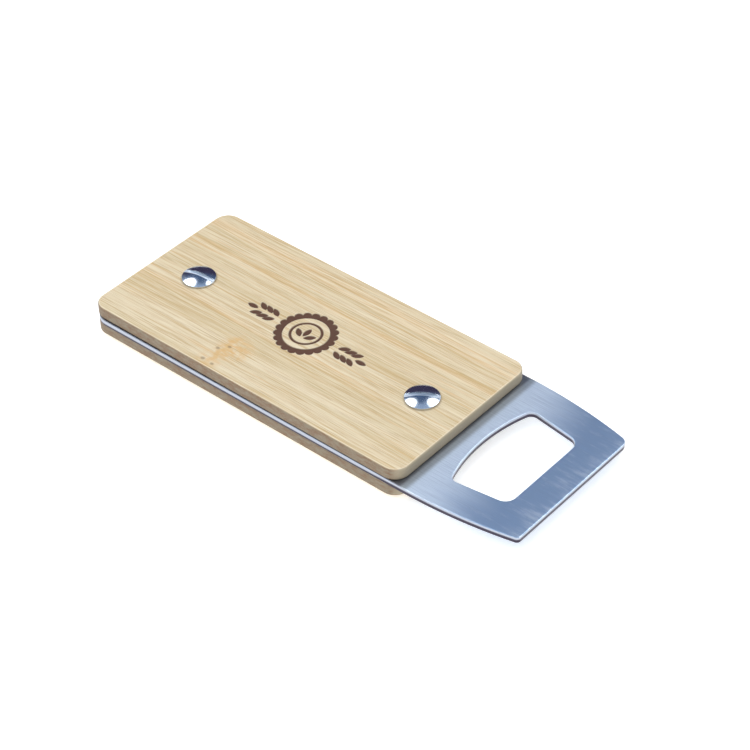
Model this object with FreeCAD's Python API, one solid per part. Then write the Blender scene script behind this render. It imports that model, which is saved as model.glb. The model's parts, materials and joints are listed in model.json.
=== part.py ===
import FreeCAD, Part
import math
import os

from FreeCAD import Vector

# Flat bottle opener, in millimetres. A steel opener plate runs the whole length between two bamboo
# scales, and two binding screws clamp the three layers. Each binding screw is a slotted screw from
# above and a slotted barrel from below, one threaded into the other.
#
# Frame: the opener lies flat, +X runs along it towards the head with the cap opening, +Y across it,
# +Z up. The origin is the centre of its length and width, at the level that the barrel heads rest on.

# Driving dimensions: the scales
SCALE_LENGTH = 90.5
SCALE_WIDTH = 45.0
SCALE_THICKNESS = 3.0
SCALE_CORNER_RADIUS = 3.7
SCALE_EDGE_ROUNDING = 0.45

# Driving dimensions: the opener plate
PLATE_THICKNESS = 1.5
PLATE_EDGE_ROUNDING = 0.15
TAIL_WIDTH = 45.8
TAIL_CORNER_RADIUS = 4.5
NECK_WIDTH = 44.85
HEAD_LENGTH = 29.0
HEAD_SIDE_RADIUS = 125.0
HEAD_BACK_CORNER_RADIUS = 2.2
HEAD_FRONT_CORNER_RADIUS = 1.0

# Driving dimensions: the cap opening, measured along X from the head's end
LIFT_EDGE_OFFSET = 7.8
HOOK_EDGE_OFFSET = 24.1
HOOK_EDGE_RADIUS = 41.0
LIFT_EDGE_WIDTH = 24.4
OPENING_TAPER_DEG = 7.6
LIFT_CORNER_RADIUS = 2.75
HOOK_CORNER_RADIUS = 1.75

# Driving dimensions: the binding screws
SCREW_SPACING = 66.3
SCREW_PAIR_SHIFT = 0.75
SCREW_LINE_Y = -0.5
HEAD_DIAMETER = 8.0
HEAD_RIM = 0.45
HEAD_HEIGHT = 1.3
SLOT_WIDTH = 1.0
SLOT_DEPTH = 0.8
FRONT_SLOT_DEG = 35.0
REAR_SLOT_DEG = 9.0
BARREL_SLOT_DEG = 0.0
BARREL_DIAMETER = 5.0
BARREL_LAND_DIAMETER = 5.6
SCREW_DIAMETER = 4.0
RUNNING_CLEARANCE = 0.05
BARREL_GAP_UNDER_HEAD = 0.5
THREAD_PITCH = 0.7
THREAD_TURNS = 7

# Driving dimensions: the engraved ornament, a crown cap with a sprig of barley on it, between two ears
ENGRAVING_DEPTH = 0.2
CAP_FLUTES = 21
CAP_CREST_RADIUS = 7.4
CAP_VALLEY_RADIUS = 6.7
CAP_BAND_WIDTH = 1.3
CAP_TOP_RADIUS = 3.9
CAP_TOP_BAND = 0.6
GRAIN_LENGTH = 3.0
GRAIN_WIDTH = 1.35
EAR_START = 8.9
EAR_GRAIN_STEP = 1.85
EAR_GRAIN_PAIRS = 3
EAR_GRAIN_DEG = 32.0
EAR_GRAIN_LIFT = 1.15
SPRIG_ROOT_Y = -1.6
SPRIG_GRAIN_DEG = 48.0
SPRIG_GRAIN_SHIFT = 0.5

# Places that follow from them
TOTAL_LENGTH = SCALE_LENGTH + HEAD_LENGTH
TAIL_X = -TOTAL_LENGTH / 2
HEAD_X = TOTAL_LENGTH / 2
SCALE_CENTRE_X = TAIL_X + SCALE_LENGTH / 2
NECK_X = TAIL_X + SCALE_LENGTH
SCREW_PAIR_X = SCALE_CENTRE_X + SCREW_PAIR_SHIFT
FRONT_SCREW_X = SCREW_PAIR_X + SCREW_SPACING / 2
REAR_SCREW_X = SCREW_PAIR_X - SCREW_SPACING / 2
BOTTOM_SCALE_Z = HEAD_HEIGHT
PLATE_Z = BOTTOM_SCALE_Z + SCALE_THICKNESS
TOP_SCALE_Z = PLATE_Z + PLATE_THICKNESS
TOP_Z = TOP_SCALE_Z + SCALE_THICKNESS
BARREL_TOP_Z = TOP_Z - BARREL_GAP_UNDER_HEAD
SCREW_TIP_Z = BARREL_TOP_Z - THREAD_PITCH * THREAD_TURNS
SCREW_PLACES = {"front": FRONT_SCREW_X, "rear": REAR_SCREW_X}
SCREW_SLOTS_DEG = {"front": FRONT_SLOT_DEG, "rear": REAR_SLOT_DEG}
MATCH_DISTANCE = 0.01


def polar(radius, angle_deg):
    """The point at this distance and angle from the origin, in the XY plane."""
    angle = math.radians(angle_deg)
    return Vector(radius * math.cos(angle), radius * math.sin(angle), 0)


def line(start, end):
    return Part.LineSegment(start, end).toShape()


def arc(start, middle, end):
    return Part.Arc(start, middle, end).toShape()


def prism(edges, bottom, height):
    """The solid of this height above the closed outline, which lies at z = 0."""
    face = Part.Face(Part.Wire(edges))
    face.translate(Vector(0, 0, bottom))
    return face.extrude(Vector(0, 0, height))


def round_corners(solid, corners):
    """Rounds the upright edges that stand at the given points, each to its own radius."""
    for point, radius in corners:
        chosen = []
        for edge in solid.Edges:
            flat = [Vector(v.X, v.Y, 0) for v in edge.Vertexes]
            if all(p.distanceToPoint(point) < MATCH_DISTANCE for p in flat):
                chosen.append(edge)
        solid = solid.makeFillet(radius, chosen)
    return solid


def round_faces_rims(solid, levels, radius):
    """Rounds every edge that lies wholly at one of the given heights."""
    chosen = []
    for edge in solid.Edges:
        box = edge.BoundBox
        for level in levels:
            if abs(box.ZMin - level) < MATCH_DISTANCE and abs(box.ZMax - level) < MATCH_DISTANCE:
                chosen.append(edge)
    return solid.makeFillet(radius, chosen)


def barrel_holes(bottom, height):
    """The two clearance holes that the barrels turn in, as one cutter."""
    radius = BARREL_DIAMETER / 2 + RUNNING_CLEARANCE
    holes = []
    for x in SCREW_PLACES.values():
        holes.append(Part.makeCylinder(radius, height, Vector(x, SCREW_LINE_Y, bottom)))
    return Part.makeCompound(holes)


def scale_blank(bottom):
    """A bamboo scale: a rectangle with rounded corners, softened rims and two holes."""
    corner = Vector(TAIL_X, -SCALE_WIDTH / 2, bottom)
    blank = Part.makeBox(SCALE_LENGTH, SCALE_WIDTH, SCALE_THICKNESS, corner)
    corners = []
    for x in (TAIL_X, NECK_X):
        for y in (-SCALE_WIDTH / 2, SCALE_WIDTH / 2):
            corners.append((Vector(x, y, 0), SCALE_CORNER_RADIUS))
    blank = round_corners(blank, corners)
    blank = round_faces_rims(blank, (bottom, bottom + SCALE_THICKNESS), SCALE_EDGE_ROUNDING)
    return blank.cut(barrel_holes(bottom, SCALE_THICKNESS))


def crown_cap_rings():
    """The cap seen from above: a fluted rim of equal arcs, and the ring round its flat top."""
    step = 360.0 / CAP_FLUTES
    flutes = []
    for index in range(CAP_FLUTES):
        valley = polar(CAP_VALLEY_RADIUS, index * step)
        crest = polar(CAP_CREST_RADIUS, (index + 0.5) * step)
        next_valley = polar(CAP_VALLEY_RADIUS, (index + 1) * step)
        flutes.append(arc(valley, crest, next_valley))
    rim = prism(flutes, -ENGRAVING_DEPTH, 2 * ENGRAVING_DEPTH)
    floor = Vector(0, 0, -ENGRAVING_DEPTH)
    rim_hole = Part.makeCylinder(CAP_VALLEY_RADIUS - CAP_BAND_WIDTH, 2 * ENGRAVING_DEPTH, floor)
    top = Part.makeCylinder(CAP_TOP_RADIUS, 2 * ENGRAVING_DEPTH, floor)
    top_hole = Part.makeCylinder(CAP_TOP_RADIUS - CAP_TOP_BAND, 2 * ENGRAVING_DEPTH, floor)
    return [rim.cut(rim_hole), top.cut(top_hole)]


def barley_grain(x, y, angle_deg):
    """One grain: a lens of two equal arcs that starts at (x, y) and points along the angle."""
    tip = Vector(GRAIN_LENGTH, 0, 0)
    belly = Vector(GRAIN_LENGTH / 2, GRAIN_WIDTH / 2, 0)
    back = Vector(GRAIN_LENGTH / 2, -GRAIN_WIDTH / 2, 0)
    root = Vector(0, 0, 0)
    grain = prism([arc(root, belly, tip), arc(tip, back, root)], -ENGRAVING_DEPTH, 2 * ENGRAVING_DEPTH)
    grain.rotate(root, Vector(0, 0, 1), angle_deg)
    grain.translate(Vector(x, y, 0))
    return grain


def barley_ear():
    """An ear that points along +X: pairs of slanted grains, and one grain at the tip."""
    grains = []
    for index in range(EAR_GRAIN_PAIRS):
        x = EAR_START + index * EAR_GRAIN_STEP
        for side in (-1, 1):
            grains.append(barley_grain(x, side * EAR_GRAIN_LIFT / 2, side * EAR_GRAIN_DEG))
    grains.append(barley_grain(EAR_START + EAR_GRAIN_PAIRS * EAR_GRAIN_STEP, 0, 0))
    return grains


def barley_sprig():
    """Three grains inside the cap's top ring: one upright, and one that leans out on each side."""
    grains = [barley_grain(0, SPRIG_ROOT_Y + SPRIG_GRAIN_SHIFT, 90)]
    for side in (-1, 1):
        root_x = side * SPRIG_GRAIN_SHIFT
        grains.append(barley_grain(root_x, SPRIG_ROOT_Y, 90 - side * SPRIG_GRAIN_DEG))
    return grains


def ornament():
    """The engraved ornament: the cap and its sprig in the middle, and an ear of barley on each side."""
    cutters = crown_cap_rings() + barley_sprig()
    for half_turn in (0, 180):
        for grain in barley_ear():
            grain.rotate(Vector(0, 0, 0), Vector(0, 0, 1), half_turn)
            cutters.append(grain)
    engraving = Part.makeCompound(cutters)
    engraving.translate(Vector(SCALE_CENTRE_X, 0, TOP_Z))
    return engraving


def top_scale():
    return scale_blank(TOP_SCALE_Z).cut(ornament())


def bottom_scale():
    return scale_blank(BOTTOM_SCALE_Z)


def plate_blank():
    """The plate's outline: sides that taper to the neck, then curve in along the head."""
    tail = TAIL_WIDTH / 2
    neck = NECK_WIDTH / 2
    drop = HEAD_SIDE_RADIUS - math.sqrt(HEAD_SIDE_RADIUS ** 2 - HEAD_LENGTH ** 2)
    middle_drop = HEAD_SIDE_RADIUS - math.sqrt(HEAD_SIDE_RADIUS ** 2 - (HEAD_LENGTH / 2) ** 2)
    head = neck - drop
    middle = neck - middle_drop
    middle_x = NECK_X + HEAD_LENGTH / 2
    edges = [
        line(Vector(TAIL_X, tail, 0), Vector(TAIL_X, -tail, 0)),
        line(Vector(TAIL_X, -tail, 0), Vector(NECK_X, -neck, 0)),
        arc(Vector(NECK_X, -neck, 0), Vector(middle_x, -middle, 0), Vector(HEAD_X, -head, 0)),
        line(Vector(HEAD_X, -head, 0), Vector(HEAD_X, head, 0)),
        arc(Vector(HEAD_X, head, 0), Vector(middle_x, middle, 0), Vector(NECK_X, neck, 0)),
        line(Vector(NECK_X, neck, 0), Vector(TAIL_X, tail, 0)),
    ]
    blank = prism(edges, PLATE_Z, PLATE_THICKNESS)
    corners = [
        (Vector(TAIL_X, -tail, 0), TAIL_CORNER_RADIUS),
        (Vector(TAIL_X, tail, 0), TAIL_CORNER_RADIUS),
        (Vector(HEAD_X, -head, 0), HEAD_FRONT_CORNER_RADIUS),
        (Vector(HEAD_X, head, 0), HEAD_BACK_CORNER_RADIUS),
    ]
    return round_corners(blank, corners)


def cap_opening():
    """The opening: a straight lift edge, tapering sides, and a hook edge on an arc."""
    lift_x = HEAD_X - LIFT_EDGE_OFFSET
    apex_x = HEAD_X - HOOK_EDGE_OFFSET
    lift = LIFT_EDGE_WIDTH / 2
    slope = math.tan(math.radians(OPENING_TAPER_DEG))
    arc_centre_x = apex_x + HOOK_EDGE_RADIUS
    # The side y = lift + slope * (lift_x - x) meets the arc where t = lift_x - x solves a quadratic.
    reach = arc_centre_x - lift_x
    a = 1 + slope ** 2
    b = 2 * (reach + lift * slope)
    c = reach ** 2 + lift ** 2 - HOOK_EDGE_RADIUS ** 2
    run = (-b + math.sqrt(b ** 2 - 4 * a * c)) / (2 * a)
    hook_x = lift_x - run
    hook = lift + slope * run
    edges = [
        line(Vector(lift_x, -lift, 0), Vector(lift_x, lift, 0)),
        line(Vector(lift_x, lift, 0), Vector(hook_x, hook, 0)),
        arc(Vector(hook_x, hook, 0), Vector(apex_x, 0, 0), Vector(hook_x, -hook, 0)),
        line(Vector(hook_x, -hook, 0), Vector(lift_x, -lift, 0)),
    ]
    cutter = prism(edges, PLATE_Z, PLATE_THICKNESS)
    corners = []
    for side in (-1, 1):
        corners.append((Vector(lift_x, side * lift, 0), LIFT_CORNER_RADIUS))
        corners.append((Vector(hook_x, side * hook, 0), HOOK_CORNER_RADIUS))
    return round_corners(cutter, corners)


def opener_plate():
    plate = plate_blank().cut(cap_opening())
    plate = round_faces_rims(plate, (PLATE_Z, PLATE_Z + PLATE_THICKNESS), PLATE_EDGE_ROUNDING)
    return plate.cut(barrel_holes(PLATE_Z, PLATE_THICKNESS))


def turned(edges):
    """The solid that a closed profile in the XZ plane sweeps round the Z axis."""
    face = Part.Face(Part.Wire(edges))
    return face.revolve(Vector(0, 0, 0), Vector(0, 0, 1), 360)


def slot_cutter(angle_deg):
    """A bar as wide as the driver slot, centred on the origin and as deep as the slot."""
    corner = Vector(-HEAD_DIAMETER, -SLOT_WIDTH / 2, -SLOT_DEPTH)
    bar = Part.makeBox(2 * HEAD_DIAMETER, SLOT_WIDTH, 2 * SLOT_DEPTH, corner)
    bar.rotate(Vector(0, 0, 0), Vector(0, 0, 1), angle_deg)
    return bar


def screw(x, slot_deg):
    """A slotted screw: a low domed head on a short rim, and a plain shank for the thread."""
    head = HEAD_DIAMETER / 2
    dome_height = HEAD_HEIGHT - HEAD_RIM
    dome_radius = (head ** 2 + dome_height ** 2) / (2 * dome_height)
    half_way = head / 2
    half_way_z = HEAD_HEIGHT - dome_radius + math.sqrt(dome_radius ** 2 - half_way ** 2)
    shank = SCREW_DIAMETER / 2
    tip = SCREW_TIP_Z - TOP_Z
    crown = Vector(0, 0, HEAD_HEIGHT)
    rim = Vector(head, 0, HEAD_RIM)
    seat = Vector(head, 0, 0)
    neck = Vector(shank, 0, 0)
    point = Vector(shank, 0, tip)
    centre = Vector(0, 0, tip)
    edges = [
        arc(crown, Vector(half_way, 0, half_way_z), rim),
        line(rim, seat),
        line(seat, neck),
        line(neck, point),
        line(point, centre),
        line(centre, crown),
    ]
    slot = slot_cutter(slot_deg)
    slot.translate(crown)
    solid = turned(edges).cut(slot)
    solid.translate(Vector(x, SCREW_LINE_Y, TOP_Z))
    return solid


def barrel(x):
    """A barrel nut: a flat-ended head with a rounded rim, and a post bored for the screw."""
    head = HEAD_DIAMETER / 2
    land = BARREL_LAND_DIAMETER / 2
    post = BARREL_DIAMETER / 2
    bore = SCREW_DIAMETER / 2 + RUNNING_CLEARANCE
    rim_z = HEAD_HEIGHT - HEAD_RIM
    shoulder_run = head - land
    bend = math.sqrt(0.5)
    middle = Vector(land + bend * shoulder_run, 0, rim_z * (1 - bend))
    centre = Vector(0, 0, 0)
    land_edge = Vector(land, 0, 0)
    rim = Vector(head, 0, rim_z)
    seat = Vector(head, 0, HEAD_HEIGHT)
    post_foot = Vector(post, 0, HEAD_HEIGHT)
    post_top = Vector(post, 0, BARREL_TOP_Z)
    bore_mouth = Vector(bore, 0, BARREL_TOP_Z)
    bore_floor = Vector(bore, 0, HEAD_HEIGHT)
    floor_centre = Vector(0, 0, HEAD_HEIGHT)
    edges = [
        line(centre, land_edge),
        arc(land_edge, middle, rim),
        line(rim, seat),
        line(seat, post_foot),
        line(post_foot, post_top),
        line(post_top, bore_mouth),
        line(bore_mouth, bore_floor),
        line(bore_floor, floor_centre),
        line(floor_centre, centre),
    ]
    solid = turned(edges).cut(slot_cutter(BARREL_SLOT_DEG))
    solid.translate(Vector(x, SCREW_LINE_Y, 0))
    return solid


def pieces():
    """Every piece by the name of its node."""
    named = {
        "top_scale": top_scale(),
        "bottom_scale": bottom_scale(),
        "opener_plate": opener_plate(),
    }
    for place, x in SCREW_PLACES.items():
        named[place + "_screw"] = screw(x, SCREW_SLOTS_DEG[place])
        named[place + "_barrel"] = barrel(x)
    return named


def one_solid(name, shape):
    """The piece as a single checked solid."""
    if len(shape.Solids) != 1 or not shape.isValid():
        raise ValueError(name + " is not one valid solid")
    return shape.Solids[0]


os.makedirs("parts", exist_ok=True)
for name, shape in pieces().items():
    solid = one_solid(name, shape)
    solid.exportStep(os.path.join("parts", name + ".step"))
    print(name, "volume", round(solid.Volume, 1), "mm3")
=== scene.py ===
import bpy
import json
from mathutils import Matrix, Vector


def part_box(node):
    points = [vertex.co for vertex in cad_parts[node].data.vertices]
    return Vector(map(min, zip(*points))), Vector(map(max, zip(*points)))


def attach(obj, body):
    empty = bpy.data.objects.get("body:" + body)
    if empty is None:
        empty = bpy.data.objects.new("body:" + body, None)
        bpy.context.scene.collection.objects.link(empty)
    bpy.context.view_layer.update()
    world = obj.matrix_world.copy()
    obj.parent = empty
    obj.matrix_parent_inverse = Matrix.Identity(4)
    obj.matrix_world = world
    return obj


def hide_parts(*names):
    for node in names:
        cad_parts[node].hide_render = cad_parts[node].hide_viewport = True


bl_info = {
    "name": "Bamboo bottle opener",
    "version": (1, 0, 0),
    "blender": (4, 5, 0),
    "location": "3D View > Sidebar > Opener",
    "description": "Builds a flat bottle opener: a steel plate between two screwed bamboo scales",
    "category": "Object",
}

import json
import math

import bmesh
import bpy
import numpy as np
from bpy.props import FloatProperty, FloatVectorProperty, IntProperty, PointerProperty
from mathutils import Matrix, Vector

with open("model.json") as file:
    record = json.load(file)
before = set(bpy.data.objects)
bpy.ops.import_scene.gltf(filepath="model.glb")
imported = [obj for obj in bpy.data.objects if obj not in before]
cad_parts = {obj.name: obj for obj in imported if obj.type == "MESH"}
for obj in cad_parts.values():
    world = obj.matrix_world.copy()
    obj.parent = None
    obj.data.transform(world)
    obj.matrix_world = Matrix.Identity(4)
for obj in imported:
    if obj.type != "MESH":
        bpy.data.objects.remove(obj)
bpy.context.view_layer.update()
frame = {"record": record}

MM = 0.001
TOP_KNUCKLE = (-10.5, -16.0)
BOTTOM_KNUCKLE = (16.0, 9.0)
SCALE_WALL = (0.6, 0.97)
PLATE_WALL = (0.15, 0.65)
HEAD_CHAMFER = 0.06 * MM


def corners(node):
    """The lowest and highest corner of a node in the frame, as arrays."""
    low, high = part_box(node)
    return np.array(low), np.array(high)


SCALE_LOW, SCALE_HIGH = corners("top_scale")
UNDER_LOW, UNDER_HIGH = corners("bottom_scale")
PLATE_LOW, PLATE_HIGH = corners("opener_plate")
SCREW_LOW, SCREW_HIGH = corners("front_screw")
BARREL_LOW, BARREL_HIGH = corners("front_barrel")
SCALE_CENTRE = (SCALE_LOW + SCALE_HIGH) / 2
PLACES = ("front", "rear")
SCREW_CENTRES = {place: sum(corners(place + "_barrel")) / 2 for place in PLACES}
BODY_OF = {node: body for body, nodes in frame["record"]["behaviour"]["bodies"].items() for node in nodes}


def srgb(red, green, blue):
    """A display colour of 0 to 255 as linear light."""
    shares = np.array([red, green, blue]) / 255
    linear = np.where(shares <= 0.04045, shares / 12.92, ((shares + 0.055) / 1.055) ** 2.4)
    return tuple(float(share) for share in linear)


def length_setting(name, description, default):
    return FloatProperty(name=name, description=description, default=default, unit="LENGTH", precision=5)


def angle_setting(name, description, degrees):
    return FloatProperty(name=name, description=description, default=math.radians(degrees), subtype="ANGLE")


def colour_setting(name, description, red, green, blue):
    return FloatVectorProperty(
        name=name, description=description, default=srgb(red, green, blue), subtype="COLOR", min=0, max=1
    )


class ScaleSizes(bpy.types.PropertyGroup):
    """Sizes of the two bamboo scales."""

    corner: length_setting("Corner", "Radius of the four corners seen from above", 3.7 * MM)
    rounding: length_setting("Rounding", "Radius of the softened rims", 0.45 * MM)
    hole: length_setting("Hole", "Diameter of the holes that the barrels pass through", 5.1 * MM)
    spacing: length_setting("Spacing", "Distance between the mesh lines of the plain faces", 1.1 * MM)


class PlateSizes(bpy.types.PropertyGroup):
    """Sizes of the steel opener plate."""

    rounding: length_setting("Rounding", "Radius of the tumbled rims", 0.15 * MM)
    tail_corner: length_setting("Tail corner", "Radius of the corners at the tail", 4.5 * MM)
    neck: length_setting("Neck", "Width where the head leaves the scales", 44.85 * MM)
    side: length_setting("Side radius", "Radius of the head's curved sides", 125.0 * MM)
    back_corner: length_setting("Back corner", "Radius of the head's corner on the +Y side", 2.2 * MM)
    front_corner: length_setting("Front corner", "Radius of the head's corner on the -Y side", 1.0 * MM)
    lift_offset: length_setting("Lift edge", "From the head's end to the straight lift edge", 7.8 * MM)
    hook_offset: length_setting("Hook edge", "From the head's end to the middle of the hook edge", 24.1 * MM)
    hook: length_setting("Hook radius", "Radius of the curved hook edge", 41.0 * MM)
    lift: length_setting("Lift width", "Width of the opening at the lift edge", 24.4 * MM)
    lift_corner: length_setting("Lift corner", "Radius of the opening's corners at the lift edge", 2.75 * MM)
    hook_corner: length_setting("Hook corner", "Radius of the opening's corners at the hook edge", 1.75 * MM)
    taper: angle_setting("Taper", "How far each side of the opening leans outwards", 7.6)
    spacing: length_setting("Spacing", "Distance between the mesh lines of the faces", 1.2 * MM)


class ScrewSizes(bpy.types.PropertyGroup):
    """Sizes of the binding screws and their barrels."""

    rim: length_setting("Rim", "Height of the upright rim of a head", 0.45 * MM)
    rim_rounding: length_setting("Rim rounding", "Radius where the dome turns down to the rim", 0.14 * MM)
    slot: length_setting("Slot width", "Width of the driver slot", 1.0 * MM)
    slot_depth: length_setting("Slot depth", "Depth of the driver slot below the head's middle", 0.8 * MM)
    slot_ease: length_setting("Slot ease", "Width over which the slot's edges are rounded", 0.14 * MM)
    land: length_setting("Land", "Diameter of the flat end of a barrel's head", 5.6 * MM)
    post: length_setting("Post", "Outer diameter of the barrel's post", 5.0 * MM)
    bore: length_setting("Bore", "Inner diameter of the barrel's post", 4.1 * MM)
    crest: length_setting("Thread crest", "Outer diameter of the screw's thread", 3.96 * MM)
    root: length_setting("Thread root", "Inner diameter of the screw's thread", 3.25 * MM)
    pitch: length_setting("Pitch", "Rise of the thread in one turn", 0.7 * MM)
    front_turn: angle_setting("Front slot", "Direction of the front screw's slot", 35.0)
    rear_turn: angle_setting("Rear slot", "Direction of the rear screw's slot", 9.0)


class OrnamentSizes(bpy.types.PropertyGroup):
    """Sizes of the engraved ornament: a crown cap with a sprig of barley on it, between two ears."""

    depth: length_setting("Depth", "How deep the laser has cut", 0.2 * MM)
    wall: length_setting("Wall", "Width of the sloping wall of a cut", 0.13 * MM)
    spacing: length_setting("Spacing", "Distance between the mesh lines under the ornament", 0.105 * MM)
    flutes: IntProperty(name="Flutes", description="Number of flutes round the cap", default=21, min=3)
    crest: length_setting("Crest", "Radius of the cap at the crests of its flutes", 7.4 * MM)
    valley: length_setting("Valley", "Radius of the cap at the valleys of its flutes", 6.7 * MM)
    band: length_setting("Band", "Width of the fluted band, measured from the valleys", 1.3 * MM)
    top: length_setting("Top ring", "Outer radius of the ring round the cap's top", 3.9 * MM)
    top_band: length_setting("Top band", "Width of the ring round the cap's top", 0.6 * MM)
    ear: length_setting("Ear", "Distance from the middle to the first grain", 8.9 * MM)
    grain: length_setting("Grain length", "Length of one grain", 3.0 * MM)
    grain_width: length_setting("Grain width", "Width of one grain", 1.35 * MM)
    grain_step: length_setting("Grain step", "Distance from one pair of grains to the next", 1.85 * MM)
    grain_lift: length_setting("Grain lift", "Distance between the roots of a pair of grains", 1.15 * MM)
    grain_lean: angle_setting("Grain lean", "Angle between a grain and the ear", 32.0)
    pairs: IntProperty(name="Pairs", description="Number of pairs of grains in an ear", default=3, min=1)
    sprig_root: length_setting("Sprig root", "Distance from the cap's middle to the sprig's root", 1.6 * MM)
    sprig_shift: length_setting("Sprig shift", "How far the sprig's grains stand from its root", 0.5 * MM)
    sprig_lean: angle_setting("Sprig lean", "Angle between the sprig's middle and side grains", 48.0)


class OpenerColours(bpy.types.PropertyGroup):
    """Colours of the finishes."""

    bamboo_pale: colour_setting("Pale bamboo", "The lightest strips", 230, 216, 186)
    bamboo: colour_setting("Bamboo", "The boards' own colour", 213, 195, 156)
    bamboo_tan: colour_setting("Tan bamboo", "Denser strips and fibres", 200, 170, 118)
    bamboo_dark: colour_setting("Dark bamboo", "The finest fibres", 184, 156, 110)
    bamboo_orange: colour_setting("Orange bamboo", "Resin bands and the knuckle", 216, 172, 104)
    # Painted highlight: the paler colour on the rounded rims stands for the light they catch.
    bamboo_rim_highlight: colour_setting("Rim bamboo", "The sanded rims", 242, 230, 206)
    # The scorched colour of the laser-cut edges and pores, also used for the painted shadow ring round the
    # screw heads.
    burnt: colour_setting("Burnt edge", "Edges left by the laser", 126, 98, 72)
    # Painted light: the end walls by the head are painted paler, standing for the light that falls on them.
    painted_lit_end: colour_setting("Pale edge", "The end by the head, less burnt", 186, 174, 148)
    burnt_grey: colour_setting("Burnt end", "End grain left by the laser", 140, 130, 110)
    engraved: colour_setting("Engraving", "The bottom of the engraving", 88, 56, 38)
    steel: colour_setting("Steel", "The brushed plate", 226, 234, 242)
    steel_dark: colour_setting("Dark steel", "Deeper brush marks", 158, 168, 184)
    # Painted shade: the dark band painted on the plate beside the scales' end, standing for their shade and
    # the reflection of their end wall.
    shaded: colour_setting("Shaded steel", "The plate right beside the scales' end", 96, 94, 84)
    # Painted reflection: the blue painted on the head's end stands for the blue studio it reflects.
    reflected_blue_steel: colour_setting("Blue steel", "The polished end of the head", 150, 176, 206)
    # The upper part of the cut edges, painted lighter, partly as burnish and partly as a painted highlight.
    edge: colour_setting("Edge", "The upper, burnished part of the plate's cut edges", 184, 190, 202)
    # The dark lower part of the cut edges, partly tearing and partly painted shade, also used for the
    # painted shadow line beside the scales' end.
    sheared_and_shadow: colour_setting("Sheared steel", "The lower, torn part of the plate's cut edges", 70, 64, 76)
    slot: colour_setting("Slot", "The plating inside the driver slots", 238, 242, 246)
    plating: colour_setting("Plating", "The bright plating of the screws", 205, 210, 216)
    floor: colour_setting("Floor", "The floor under the opener", 250, 250, 250)


# Outlines: parts of points in the XY plane, in order round the shape, with normals that point out of it.


def straight(start, end, spacing):
    """Even steps from start towards end, without end itself; the normals point to the right of the way."""
    start, end = np.array(start), np.array(end)
    run = end - start
    reach = np.hypot(*run)
    count = max(2, round(reach / spacing))
    share = np.arange(count)[:, None] / count
    normal = np.array([run[1], -run[0]]) / reach
    return start + share * run, np.tile(normal, (count, 1))


def bend(centre, radius, start, end, step=math.radians(7.5), smallest=4):
    """Even steps along an arc from one angle towards another: centre + radius * (cos, sin) of the angle."""
    count = max(smallest, round(abs(end - start) / step))
    angle = start + (end - start) * np.arange(count) / count
    normal = np.stack([np.cos(angle), np.sin(angle)], axis=1)
    return np.array(centre) + radius * normal, normal


class Outline:
    """A closed outline made of parts, which can be moved inwards by an inset."""

    def __init__(self, parts):
        self.parts = parts

    def run(self, inset, first=0, last=None):
        """The points of some parts, each moved inwards along its normal."""
        return np.concatenate([points - inset * normals for points, normals in self.parts[first:last]])

    def start(self, inset, part):
        points, normals = self.parts[part % len(self.parts)]
        return points[0] - inset * normals[0]

    def cross(self, inset, first, last, count):
        """Even steps across the shape, from the start of one part towards the start of another."""
        share = np.arange(count)[:, None] / count
        start = self.start(inset, first)
        return start + share * (self.start(inset, last) - start)


def raised(loop, height):
    """Points of the XY plane set at a height."""
    return np.concatenate([loop, np.full((len(loop), 1), float(height))], axis=1)


def circle(centre, radius, count):
    """Even points round a circle: centre + radius * (cos, sin) of the angle."""
    angle = np.arange(count) * 2 * math.pi / count
    return np.array(centre)[:2] + radius * np.stack([np.cos(angle), np.sin(angle)], axis=1)


def edge_profile(low, high, rounding, steps=6):
    """The half section of a board's edge as rows of inset and height: a holding line on the top face,
    a quarter circle, the wall, a quarter circle and a holding line on the bottom face."""
    angle = np.linspace(0, math.pi / 2, steps + 1)
    inset = rounding * (1 - np.sin(angle))
    drop = rounding * (1 - np.cos(angle))
    hold = 1.4 * rounding
    top = np.stack([inset, high - drop], axis=1)
    bottom = np.stack([inset, low + drop], axis=1)[::-1]
    return np.concatenate([[[hold, high]], top, bottom, [[hold, low]]])


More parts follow.
